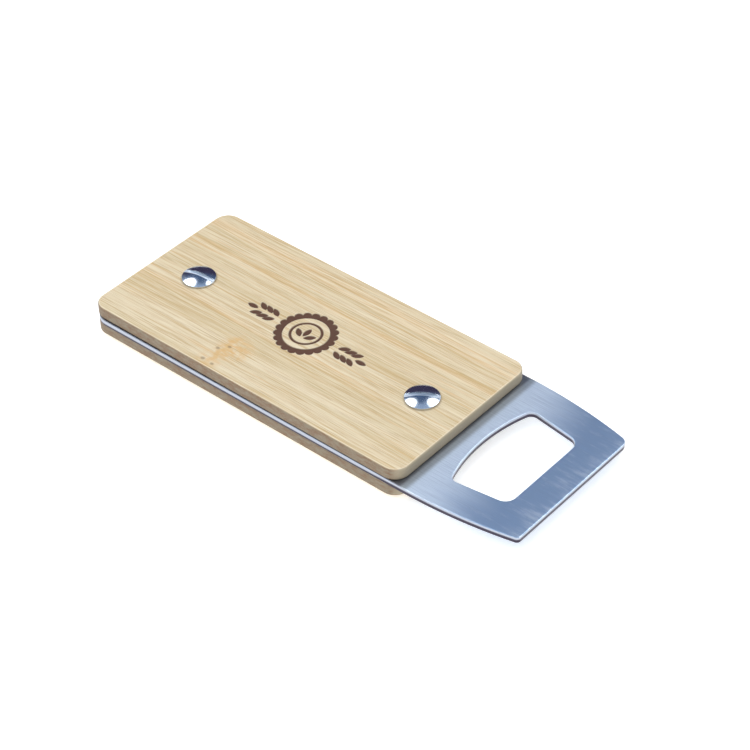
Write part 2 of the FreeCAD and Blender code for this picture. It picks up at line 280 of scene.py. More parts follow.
class Shell:
    """Patches of points and faces that are welded into one closed mesh."""

    def __init__(self):
        self.points = []
        self.quads = []
        self.triangles = []
        self.count = 0

    def add(self, points):
        """Stores points and gives the number of the first."""
        first = self.count
        self.points.append(points.reshape(-1, 3))
        self.count += len(self.points[-1])
        return first

    def net(self, grid, closed=False):
        """Quads over a grid of points; closed joins the last column to the first."""
        rows, columns = grid.shape[:2]
        number = self.add(grid) + np.arange(rows * columns).reshape(rows, columns)
        if closed:
            number = np.concatenate([number, number[:, :1]], axis=1)
        corner = [number[:-1, :-1], number[:-1, 1:], number[1:, 1:], number[1:, :-1]]
        self.quads.append(np.stack(corner, axis=-1).reshape(-1, 4))

    def zip(self, inner, outer, centre):
        """Triangles between two loops: whichever loop has the next point by angle round the centre
        takes the next step."""
        inner, inner_angle = by_angle(inner, centre)
        outer, outer_angle = by_angle(outer, centre)
        turn = 2 * math.pi
        n, m = len(inner), len(outer)
        following = np.concatenate(
            [inner_angle[1:], inner_angle[:1] + turn, outer_angle[1:], outer_angle[:1] + turn]
        )
        order = np.argsort(following, kind="stable")
        is_inner = (order < n).astype(int)
        i = np.cumsum(is_inner) - is_inner
        j = np.cumsum(1 - is_inner) - (1 - is_inner)
        third = np.where(is_inner == 1, (i + 1) % n, n + (j + 1) % m)
        triangles = np.stack([i % n, n + j % m, third], axis=1)
        self.triangles.append(self.add(np.concatenate([inner, outer])) + triangles)

    def fan(self, loop, tip):
        """Triangles from a loop to one point."""
        n = len(loop)
        first = self.add(np.concatenate([loop, [tip]]))
        i = np.arange(n)
        self.triangles.append(first + np.stack([i, (i + 1) % n, np.full(n, n)], axis=1))

    def mesh(self, name, turn=math.radians(30)):
        """The welded mesh with its faces outwards, smooth except where it turns by more than an angle."""
        points = np.concatenate(self.points)
        quads = np.concatenate(self.quads)
        triangles = np.concatenate(self.triangles) if self.triangles else np.zeros((0, 3), int)
        mesh = bpy.data.meshes.new(name)
        mesh.from_pydata(points, [], quads.tolist() + triangles.tolist())
        work = bmesh.new()
        work.from_mesh(mesh)
        bmesh.ops.remove_doubles(work, verts=work.verts, dist=0.002 * MM)
        bmesh.ops.recalc_face_normals(work, faces=work.faces)
        if any(len(edge.link_faces) != 2 for edge in work.edges):
            raise RuntimeError(name + " is not closed")
        work.to_mesh(mesh)
        work.free()
        mesh.shade_smooth()
        mesh.set_sharp_from_angle(angle=turn)
        return mesh


def by_angle(loop, centre):
    """A loop and its angles round a centre, turned so that the angles rise from the smallest."""
    angle = np.arctan2(loop[:, 1] - centre[1], loop[:, 0] - centre[0])
    order = np.argsort(angle, kind="stable")
    return loop[order], angle[order]


def face_round(shell, inner, outer, centre, height, shares):
    """A flat face between two loops. The loops between them lie at shares of the way from the inner
    loop to the outer one, along rays from the centre."""
    centre = np.array(centre)[:2]
    ordered, inner_angle = by_angle(inner, centre)
    inner_reach = np.hypot(*(ordered - centre).T)
    ray = outer - centre
    reach = np.hypot(*ray.T)
    near = np.interp(np.arctan2(ray[:, 1], ray[:, 0]), inner_angle, inner_reach, period=2 * math.pi)
    start = centre + ray * (near / reach)[:, None]
    share = np.array(shares)[:, None, None]
    rings = start + share * (outer - start)
    heights = np.full(rings.shape[:2] + (1,), float(height))
    shell.zip(raised(inner, height), raised(rings[0], height), centre)
    shell.net(np.concatenate([rings, heights], axis=2), closed=True)


def face_across(shell, low, high, height, count):
    """A flat face between two rows of points, ruled across with even steps."""
    share = np.linspace(0, 1, count + 1)[None, :, None]
    grid = low[:, None] * (1 - share) + high[:, None] * share
    heights = np.full(grid.shape[:2] + (1,), float(height))
    shell.net(np.concatenate([grid, heights], axis=2))


def edge_wall(shell, outline, profile):
    """The profile carried round the outline: each point moves inwards by the inset, at the height."""
    rings = [raised(outline.run(inset), height) for inset, height in profile]
    shell.net(np.stack(rings), closed=True)


def hole_wall(shell, centre, radius, low, high, count):
    """The upright wall of a round hole: one circle at each of two heights."""
    rings = [raised(circle(centre, radius, count), height) for height in (low, high)]
    shell.net(np.stack(rings), closed=True)


# The bamboo scales

HOLE_STEPS = 72
HOLE_SHARES = np.linspace(0.1, 1, 8)
OPENING_SHARES = np.linspace(0.1, 1, 9)
ORNAMENT_SHARES = np.linspace(0.25, 1, 5)
LINE_MARGIN = 9.5 * MM


def scale_outline(sizes):
    """A rectangle with rounded corners. Its parts start where the middle field meets the -Y side."""
    (left, front), (right, back) = SCALE_LOW[:2], SCALE_HIGH[:2]
    r = sizes.corner
    rear_line = SCREW_CENTRES["rear"][0] + LINE_MARGIN
    front_line = SCREW_CENTRES["front"][0] - LINE_MARGIN
    quarter = math.pi / 2
    return Outline([
        straight((rear_line, front), (front_line, front), sizes.spacing),
        straight((front_line, front), (right - r, front), sizes.spacing),
        bend((right - r, front + r), r, -quarter, 0),
        straight((right, front + r), (right, back - r), sizes.spacing),
        bend((right - r, back - r), r, 0, quarter),
        straight((right - r, back), (front_line, back), sizes.spacing),
        straight((front_line, back), (rear_line, back), sizes.spacing),
        straight((rear_line, back), (left + r, back), sizes.spacing),
        bend((left + r, back - r), r, quarter, 2 * quarter),
        straight((left, back - r), (left, front + r), sizes.spacing),
        bend((left + r, front + r), r, 2 * quarter, 3 * quarter),
        straight((left + r, front), (rear_line, front), sizes.spacing),
    ])


def scale_end_fields(shell, outline, inset, height, sizes, count):
    """The two end fields of a scale's face, each between its hole and its share of the outline."""
    fields = {"front": (1, 6), "rear": (7, 12)}
    for place, (first, last) in fields.items():
        line = outline.cross(inset, last, first, count)
        outer = np.concatenate([outline.run(inset, first, last), line])
        centre = SCREW_CENTRES[place]
        inner = circle(centre, sizes.hole / 2, HOLE_STEPS)
        face_round(shell, inner, outer, centre, height, HOLE_SHARES)


def scale_middle(outline, inset, count):
    """The border of the middle field, and its two long sides as rows that run along +X."""
    border = np.concatenate([
        outline.run(inset, 0, 1),
        outline.cross(inset, 1, 6, count),
        outline.run(inset, 6, 7),
        outline.cross(inset, 7, 0, count),
    ])
    low = np.concatenate([outline.run(inset, 0, 1), [outline.start(inset, 1)]])
    high = np.concatenate([outline.run(inset, 6, 7), [outline.start(inset, 7)]])[::-1]
    return border, low, high


def scale_shell(sizes, low, high):
    """A scale without its top middle field: walls, holes, end fields and the plain underside."""
    shell = Shell()
    outline = scale_outline(sizes)
    profile = edge_profile(low, high, sizes.rounding)
    edge_wall(shell, outline, profile)
    hold = profile[0][0]
    count = round((SCALE_HIGH[1] - SCALE_LOW[1]) / sizes.spacing)
    for height in (low, high):
        scale_end_fields(shell, outline, hold, height, sizes, count)
    for place in PLACES:
        hole_wall(shell, SCREW_CENTRES[place], sizes.hole / 2, low, high, HOLE_STEPS)
    border, low_side, high_side = scale_middle(outline, hold, count)
    face_across(shell, low_side, high_side, low, count)
    return shell, border, (low_side, high_side, count)


# The ornament: distances in the plane, negative inside what is cut.


def lens(along, across, length, width):
    """Distance to a lens of two equal arcs: its tips lie at 0 and length, and each arc's centre lies as far
    beyond the middle line as its radius is more than half the width."""
    radius = (length**2 + width**2) / (4 * width)
    return np.hypot(along - length / 2, np.abs(across) + radius - width / 2) - radius


def cap_distance(x, y, sizes):
    """Distance to the fluted band and the top ring of the cap. A flute is the circle through a crest and
    the two valleys beside it; all flutes fold onto one."""
    reach = np.hypot(x, y)
    step = 2 * math.pi / sizes.flutes
    folded = (np.arctan2(y, x) % step) - step / 2
    valley_x = sizes.valley * math.cos(step / 2)
    valley_y = sizes.valley * math.sin(step / 2)
    centre = (sizes.crest**2 - valley_x**2 - valley_y**2) / (2 * (sizes.crest - valley_x))
    flute = np.hypot(reach * np.cos(folded) - centre, reach * np.sin(folded)) - (sizes.crest - centre)
    outside = np.minimum(flute, reach - valley_x)
    band = np.maximum(outside, sizes.valley - sizes.band - reach)
    ring = np.abs(reach - sizes.top + sizes.top_band / 2) - sizes.top_band / 2
    return np.minimum(band, ring)


def grain_distance(x, y, angle, sizes):
    """Distance to a grain whose root is the origin and which points along an angle."""
    cos, sin = math.cos(angle), math.sin(angle)
    return lens(x * cos + y * sin, y * cos - x * sin, sizes.grain, sizes.grain_width)


def ear_distance(x, y, sizes):
    """Distance to the grains of an ear: pairs that lean outwards, and one at the tip."""
    distance = grain_distance(x - sizes.ear - sizes.pairs * sizes.grain_step, y, 0, sizes)
    for index in range(sizes.pairs):
        along = x - sizes.ear - index * sizes.grain_step
        across = np.abs(y) - sizes.grain_lift / 2
        distance = np.minimum(distance, grain_distance(along, across, sizes.grain_lean, sizes))
    return distance


def sprig_distance(x, y, sizes):
    """Distance to the sprig on the cap: an upright grain, and one that leans out on each side."""
    upright = math.pi / 2
    middle = grain_distance(x, y + sizes.sprig_root - sizes.sprig_shift, upright, sizes)
    side = grain_distance(np.abs(x) - sizes.sprig_shift, y + sizes.sprig_root,
                          upright - sizes.sprig_lean, sizes)
    return np.minimum(middle, side)


def smooth_step(low, high, value):
    """0 below low, 1 above high, and 3t^2 - 2t^3 between them."""
    t = np.clip((value - low) / (high - low), 0, 1)
    return t * t * (3 - 2 * t)


def cut_share(x, y, sizes):
    """How deep the engraving is at a place, from 0 on the board's face to 1 on the cut's floor."""
    x, y = x - SCALE_CENTRE[0], y - SCALE_CENTRE[1]
    distance = np.minimum(cap_distance(x, y, sizes), ear_distance(np.abs(x), y, sizes))
    distance = np.minimum(distance, sprig_distance(x, y, sizes))
    return 1 - smooth_step(-sizes.wall / 2, sizes.wall / 2, distance)


def engraved_field(shell, border, height, sizes):
    """The top middle field: a fine grid under the ornament, lowered by the cut's share of its depth,
    and a plain face from there to the field's border."""
    margin = 0.5 * MM
    half_x = sizes.ear + sizes.pairs * sizes.grain_step + sizes.grain + margin
    half_y = sizes.crest + margin
    across_x = np.linspace(-half_x, half_x, round(2 * half_x / sizes.spacing) + 1) + SCALE_CENTRE[0]
    across_y = np.linspace(-half_y, half_y, round(2 * half_y / sizes.spacing) + 1) + SCALE_CENTRE[1]
    x, y = np.meshgrid(across_x, across_y, indexing="ij")
    grid = np.stack([x, y, height - sizes.depth * cut_share(x, y, sizes)], axis=2)
    shell.net(grid)
    rim = np.concatenate([grid[:-1, 0], grid[-1, :-1], grid[:0:-1, -1], grid[0, :0:-1]])[:, :2]
    face_round(shell, rim, border, SCALE_CENTRE, height, ORNAMENT_SHARES)


# The opener plate


def plate_slope(sizes):
    """How much the plate's half width shrinks from the tail to the neck, per unit of length."""
    tail_half = (PLATE_HIGH[1] - PLATE_LOW[1]) / 2
    return (tail_half - sizes.neck / 2) / (SCALE_HIGH[0] - PLATE_LOW[0])


def plate_outline(sizes):
    """The plate from above: tapering straight sides, head sides on an arc, and four rounded corners.
    A corner's circle touches both of its neighbours: its centre lies one radius inside each."""
    tail_x, head_x = PLATE_LOW[0], PLATE_HIGH[0]
    neck_x, neck = SCALE_HIGH[0], sizes.neck / 2
    slope = plate_slope(sizes)
    lean = math.atan(slope)
    lines = [SCREW_CENTRES["rear"][0] + LINE_MARGIN, SCREW_CENTRES["front"][0] - LINE_MARGIN,
             SCALE_HIGH[0] - 1.5 * MM]

    def side(x):
        """Half of the plate's width at x, on its straight sides."""
        return neck + slope * (neck_x - x)

    def corner_on_arc(radius):
        """The centre of a head corner's circle, and the angle where the side's arc meets it."""
        centre_x = head_x - radius
        reach = sizes.side - radius
        rise = math.sqrt(reach**2 - (centre_x - neck_x) ** 2)
        return centre_x, neck - sizes.side + rise, math.atan2(rise, centre_x - neck_x)

    r = sizes.tail_corner
    tail_centre = (tail_x + r, side(tail_x + r) - r / math.cos(lean))
    tail_end = tail_centre[0] + r * math.sin(lean)
    front_x, front_y, front_angle = corner_on_arc(sizes.front_corner)
    back_x, back_y, back_angle = corner_on_arc(sizes.back_corner)
    quarter = math.pi / 2
    step = sizes.spacing
    arc_step = step / sizes.side
    return Outline([
        straight((lines[0], -side(lines[0])), (lines[1], -side(lines[1])), step),
        straight((lines[1], -side(lines[1])), (lines[2], -side(lines[2])), step),
        straight((lines[2], -side(lines[2])), (neck_x, -neck), step / 2),
        bend((neck_x, sizes.side - neck), sizes.side, -quarter, -front_angle, arc_step),
        bend((front_x, -front_y), sizes.front_corner, -front_angle, 0, smallest=8),
        straight((head_x, -front_y), (head_x, back_y), step),
        bend((back_x, back_y), sizes.back_corner, 0, back_angle, smallest=8),
        bend((neck_x, neck - sizes.side), sizes.side, back_angle, quarter, arc_step),
        straight((neck_x, neck), (lines[2], side(lines[2])), step / 2),
        straight((lines[2], side(lines[2])), (lines[1], side(lines[1])), step),
        straight((lines[1], side(lines[1])), (lines[0], side(lines[0])), step),
        straight((lines[0], side(lines[0])), (tail_end, side(tail_end)), step),
        bend(tail_centre, r, quarter - lean, 2 * quarter),
        straight((tail_x, tail_centre[1]), (tail_x, -tail_centre[1]), step),
        bend((tail_centre[0], -tail_centre[1]), r, 2 * quarter, 3 * quarter + lean),
        straight((tail_end, -side(tail_end)), (lines[0], -side(lines[0])), step),
    ])


def opening_outline(sizes):
    """The cap opening, with normals that point out of the opening and so into the steel: a straight lift
    edge, sides that lean outwards, and a hook edge on an arc. A side moved inwards by d meets an arc
    made smaller by d where the run t from the lift edge solves (reach + t)^2 + (y + slope t)^2 = arc^2."""
    lift_x = PLATE_HIGH[0] - sizes.lift_offset
    hook_centre_x = PLATE_HIGH[0] - sizes.hook_offset + sizes.hook
    slope = math.tan(sizes.taper)
    quarter = math.pi / 2

    def side(inset, run):
        """Half of the opening's width at a run from the lift edge, for sides moved inwards by an inset."""
        return sizes.lift / 2 - inset / math.cos(sizes.taper) + slope * run

    r = sizes.lift_corner
    lift_centre = (lift_x - r, side(r, r))
    k = sizes.hook_corner
    reach, y = hook_centre_x - lift_x, side(k, 0)
    a, b = 1 + slope**2, 2 * (reach + y * slope)
    c = reach**2 + y**2 - (sizes.hook - k) ** 2
    run = (-b + math.sqrt(b**2 - 4 * a * c)) / (2 * a)
    hook_centre = (lift_x - run, side(k, run))
    meet = math.atan2(hook_centre[1], hook_centre[0] - hook_centre_x)
    lean = quarter - sizes.taper
    out = np.array([math.cos(lean), math.sin(lean)])
    lift_end = np.array(lift_centre) + r * out
    hook_end = np.array(hook_centre) + k * out
    mirror = np.array([1, -1])
    step = sizes.spacing / 1.5
    corner = math.radians(9)
    return Outline([
        straight((lift_x, -lift_centre[1]), (lift_x, lift_centre[1]), step),
        bend(lift_centre, r, 0, lean, corner),
        straight(lift_end, hook_end, step),
        bend(hook_centre, k, lean, meet, corner),
        bend((hook_centre_x, 0), sizes.hook, meet, 2 * math.pi - meet, step / sizes.hook),
        bend(hook_centre * mirror, k, -meet, -lean, corner),
        straight(hook_end * mirror, lift_end * mirror, step),
        bend(lift_centre * mirror, r, -lean, 0, corner),
    ])


def plate_shell(sizes, hole):
    """The plate: the same rounded edge round the outline and round the opening, and two flat faces of
    four fields each."""
    shell = Shell()
    outline, opening = plate_outline(sizes), opening_outline(sizes)
    low, high = PLATE_LOW[2], PLATE_HIGH[2]
    profile = edge_profile(low, high, sizes.rounding, steps=4)
    edge_wall(shell, outline, profile)
    edge_wall(shell, opening, profile * [-1, 1])
    hold = profile[0][0]
    count = round((PLATE_HIGH[1] - PLATE_LOW[1]) / sizes.spacing)
    loop = outline.run
    cross = outline.cross
    rear_field = np.concatenate([loop(hold, 11, 16), cross(hold, 16, 11, count)])
    front_field = np.concatenate([loop(hold, 1, 2), cross(hold, 2, 9, count), loop(hold, 9, 10),
                                  cross(hold, 10, 1, count)])
    head_field = np.concatenate([loop(hold, 2, 9), cross(hold, 9, 2, count)])
    low_side = np.concatenate([loop(hold, 0, 1), [outline.start(hold, 1)]])
    high_side = np.concatenate([loop(hold, 10, 11), [outline.start(hold, 11)]])[::-1]
    opening_loop = opening.run(-hold)
    opening_centre = (opening_loop.min(axis=0) + opening_loop.max(axis=0)) / 2
    for height in (low, high):
        for place, field in (("rear", rear_field), ("front", front_field)):
            centre = SCREW_CENTRES[place]
            face_round(shell, circle(centre, hole / 2, HOLE_STEPS), field, centre, height, HOLE_SHARES)
        face_across(shell, low_side, high_side, height, count)
        face_round(shell, opening_loop, head_field, opening_centre, height, OPENING_SHARES)
    for place in PLACES:
        hole_wall(shell, SCREW_CENTRES[place], hole / 2, low, high, HOLE_STEPS)
    return shell


# The binding screws: worked out round the Z axis with the seat at height 0 and the head above it.

SHANK_STEPS = 64


def slotted_head(shell, radius, height_at, floor, sizes, turn):
    """A head's end as a height over a disc, in rows that run along the slot: each row spans the disc's
    chord, closer together towards its ends. The height is height_at(distance from the axis), lowered to
    the floor inside the slot with eased edges. Gives the angles of the disc's rim points."""
    ease = sizes.slot_ease / 2
    half = sizes.slot / 2
    chord_start = math.asin((half + 2 * ease) / radius)
    rows = np.concatenate([
        np.linspace(0, half - 2 * ease, 4, endpoint=False),
        np.linspace(half - 2 * ease, half + 2 * ease, 13, endpoint=False),
        radius * np.sin(np.linspace(chord_start, math.pi / 2, 20)),
    ])
    rows = np.concatenate([-rows[:0:-1], rows])
    along = np.sin(np.linspace(-math.pi / 2, math.pi / 2, 61))
    chord = np.sqrt(np.maximum(radius**2 - rows**2, 0))
    x = chord[:, None] * along
    y = np.repeat(rows[:, None], len(along), axis=1)
    top = height_at(np.minimum(np.hypot(x, y), radius))
    wall = smooth_step(half - ease, half + ease, np.abs(y))
    z = top - np.maximum(top - floor, 0) * (1 - wall)
    cos, sin = math.cos(turn), math.sin(turn)
    shell.net(np.stack([x * cos - y * sin, x * sin + y * cos, z], axis=2))
    rim_x = np.concatenate([x[:-1, -1], x[:0:-1, 0]])
    rim_y = np.concatenate([rows[:-1], rows[:0:-1]])
    return np.arctan2(rim_y, rim_x) + turn


def turned(angles, profile):
    """Rings round the Z axis at each radius and height of a profile, as a grid of points."""
    profile = np.array(profile)
    radius = profile[:, 0][:, None]
    height = np.repeat(profile[:, 1][:, None], len(angles), axis=1)
    return np.stack([radius * np.cos(angles), radius * np.sin(angles), height], axis=2)


def screw_shell(sizes, turn, tip):
    """A domed head: a sphere's cap, a rounded rim, a short wall and a flat seat, then the threaded shank."""
    shell = Shell()
    radius = (SCREW_HIGH[0] - SCREW_LOW[0]) / 2
    crown = SCREW_HIGH[2] - SCALE_HIGH[2]
    rise = crown - sizes.rim
    sphere = (radius**2 + rise**2) / (2 * rise)
    lean = math.asin(radius / sphere)
    edge = radius - sizes.rim_rounding * (1 - math.sin(lean))

    def dome(distance):
        """The sphere's height at a distance from the axis."""
        return crown - sphere + np.sqrt(sphere**2 - distance**2)

    angles = slotted_head(shell, edge, dome, crown - sizes.slot_depth, sizes, turn)
    fall = np.linspace(lean, math.pi / 2, 7)
    arc_centre = dome(edge) - sizes.rim_rounding * math.cos(lean)
    profile = [(edge, float(dome(edge)))]
    for angle in fall[1:]:
        profile.append((radius - sizes.rim_rounding * (1 - math.sin(angle)),
                        arc_centre + sizes.rim_rounding * math.cos(angle)))
    profile += [(radius, HEAD_CHAMFER), (radius - HEAD_CHAMFER, 0)]
    head = turned(angles, profile)
    shell.net(head, closed=True)
    shank = thread(sizes, tip)
    shell.zip(shank[0], head[-1], (0, 0))
    shell.net(shank, closed=True)
    shell.fan(shank[-1], (0, 0, tip))
    return shell


def thread(sizes, tip):
    """The shank as rings: the radius swings between root and crest with height / pitch - angle / turn,
    a right-handed helix, and narrows to the root under the head and at the tip."""
    rows_per_turn = 14
    rows = round(-tip / sizes.pitch * rows_per_turn)
    height = np.linspace(0, tip, rows + 1)[:, None]
    angle = np.arange(SHANK_STEPS)[None, :] * 2 * math.pi / SHANK_STEPS
    phase = height / sizes.pitch - angle / (2 * math.pi)
    ridge = np.abs((phase % 1) - 0.5) * 2
    swing = smooth_step(0.22, 0.8, ridge)
    fade = smooth_step(0.3 * MM, 0.8 * MM, -height) * smooth_step(0, 0.5 * MM, height - tip)
    radius = sizes.root / 2 + (sizes.crest - sizes.root) / 2 * swing * fade
    end = smooth_step(0, 0.35 * MM, height - tip)
    radius = radius - 0.25 * MM * (1 - end)
    x, y = radius * np.cos(angle), radius * np.sin(angle)
    return np.stack([x, y, np.broadcast_to(height, x.shape)], axis=2)


def barrel_shell(sizes):
    """A flat-ended head whose shoulder is a quarter ellipse, a flat seat, and a post with a bore. It is
    worked out with its head up and then turned over."""
    shell = Shell()
    radius = (BARREL_HIGH[0] - BARREL_LOW[0]) / 2
    crown = UNDER_LOW[2] - BARREL_LOW[2]
    fall = crown - sizes.rim
    land = sizes.land / 2

    def end(distance):
        """Level over the land, then down a quarter ellipse to the rim."""
        share = np.clip((distance - land) / (radius - land), 0, 1)
        return crown - fall * (1 - np.sqrt(1 - share**2))

    angles = slotted_head(shell, radius, end, crown - sizes.slot_depth, sizes, 0)
    head = turned(angles, [(radius, sizes.rim), (radius, HEAD_CHAMFER), (radius - HEAD_CHAMFER, 0)])
    shell.net(head, closed=True)
    around = np.arange(SHANK_STEPS) * 2 * math.pi / SHANK_STEPS
    post, bore, mouth = sizes.post / 2, sizes.bore / 2, UNDER_LOW[2] - BARREL_HIGH[2]
    lead = 0.15 * MM
    tube = turned(around, [(post, 0), (post, mouth + lead), (post - lead, mouth), (bore + lead, mouth),
                           (bore, mouth + lead), (bore, 0)])
    shell.zip(tube[0], head[-1], (0, 0))
    shell.net(tube, closed=True)
    shell.fan(tube[-1], (0, 0, 0))
    return shell


# Finishes


class Wire:
    """An output socket that can be used in sums: each operator adds the Math node that works it out."""

    def __init__(self, finish, socket):
        self.finish = finish
        self.socket = socket

    def sum(self, operation, first, second):
        return self.finish.wire("ShaderNodeMath", {"operation": operation}, {0: first, 1: second})

    def __add__(self, other):
        return self.sum("ADD", self, other)

    def __radd__(self, other):
        return self.sum("ADD", other, self)

    def __sub__(self, other):
        return self.sum("SUBTRACT", self, other)

    def __rsub__(self, other):
        return self.sum("SUBTRACT", other, self)

    def __mul__(self, other):
        return self.sum("MULTIPLY", self, other)

    def __rmul__(self, other):
        return self.sum("MULTIPLY", other, self)

    def step(self, low, high):
        """0 at low and 1 at high, with a smooth rise between them."""
        return self.finish.wire(
            "ShaderNodeMapRange",
            {"interpolation_type": "SMOOTHSTEP"},
            {"Value": self, "From Min": low, "From Max": high},
        )


class Finish:
    """A material under construction, round one Principled shader."""

    def __init__(self, name, metallic, roughness, **constants):
        self.material = bpy.data.materials.new(name)
        self.material.use_nodes = True
        self.tree = self.material.node_tree
        self.tree.nodes.clear()
        look = {"Metallic": metallic, "Roughness": roughness}
        self.shader = self.node("ShaderNodeBsdfPrincipled", {}, look)
        for socket, value in constants.items():
            self.shader.inputs[socket.replace("_", " ")].default_value = value
        output = self.tree.nodes.new("ShaderNodeOutputMaterial")
        self.tree.links.new(self.shader.outputs[0], output.inputs["Surface"])

    def node(self, kind, settings, sockets):
        """A node of a type: its settings first, then the values or links of its sockets."""
        node = self.tree.nodes.new(kind)
        for name, value in settings.items():
            setattr(node, name, value)
        for name, value in sockets.items():
            self.feed(node.inputs[name], value)
        return node

    def feed(self, socket, value):
        if isinstance(value, Wire):
            self.tree.links.new(value.socket, socket)
        elif socket.type == "RGBA":
            socket.default_value = tuple(value) + (1.0,)
        else:
            socket.default_value = value

    def wire(self, kind, settings, sockets, output=0):
        return Wire(self, self.node(kind, settings, sockets).outputs[output])

    def set(self, **sockets):
        for name, value in sockets.items():
            self.feed(self.shader.inputs[name.replace("_", " ")], value)

    def place(self):
        """X, Y and Z of the piece in millimetres."""
        coordinates = self.wire("ShaderNodeTexCoord", {}, {}, "Object")
        split = self.node("ShaderNodeSeparateXYZ", {}, {0: coordinates})
        return [Wire(self, output) * (1 / MM) for output in split.outputs]

    def attribute(self, name):
        return self.wire("ShaderNodeAttribute", {"attribute_name": name}, {}, "Fac")

    def noise(self, x, y, z, detail=2.0, roughness=0.5):
        vector = self.wire("ShaderNodeCombineXYZ", {}, {0: x, 1: y, 2: z})
        sockets = {"Vector": vector, "Scale": 1.0, "Detail": detail, "Roughness": roughness}
        return self.wire("ShaderNodeTexNoise", {}, sockets)

    def mix(self, share, first, second):
        """A colour between two colours."""
        return self.wire("ShaderNodeMix", {"data_type": "RGBA"}, {0: share, 6: first, 7: second}, 2)

    def bumps(self, height, depth):
        """Bumps that stand this deep where the height goes from 0 to 1."""
        normal = self.wire("ShaderNodeBump", {}, {"Height": height, "Distance": depth, "Strength": 1.0})
        self.set(Normal=normal)


def square(wire):
    """A value times itself."""
    return wire * wire


def spot(x, y, place, reach):
    """1 in the middle of an oval spot and 0 outside it."""
    away_x = (x - place[0]) * (1 / reach[0])
    away_y = (y - place[1]) * (1 / reach[1])
    return 1 - (square(away_x) + square(away_y)).step(0, 1)


def strip(y, middle, reach):
    """1 along the middle of a strip that runs the whole length, and 0 outside it."""
    return 1 - square((y - middle) * (1 / reach)).step(0, 1)


def knuckle(finish, colour, x, y, place, colours):
    """Where a stem had a joint: an orange cloud, a thin wavy line across the strip and a few dark pores."""
    x, y = x - place[0], y - place[1]
    mottle = finish.noise(x * 0.45, y * 0.9, 3.0, 3.0, 0.65)
    wave = finish.noise(y * 0.25, 0.0, 7.0, 2.0) * 5.0 - 2.5
    cloud = spot(x, y, (2.0, 2.0), (5.5, 5.0)) + spot(x, y, (0.0, -4.0), (4.0, 5.0)) * 0.6
    line = (1 - square((x + wave) * (1 / 0.9)).step(0, 1)) * spot(x, y, (0.0, 0.0), (6.0, 8.0))
    colour = finish.mix(cloud * mottle.step(0.3, 0.65) * 0.75, colour, colours.bamboo_orange)
    colour = finish.mix(line * 0.45, colour, colours.bamboo_orange)
    for pore, reach in (((-1.3, -0.1), 0.55), ((0.5, 1.8), 0.5), ((-1.5, -4.7), 0.6), ((1.4, -4.9), 0.5)):
        colour = finish.mix(spot(x, y, pore, (reach * 1.3, reach)) * 0.55, colour, colours.burnt)
    return colour


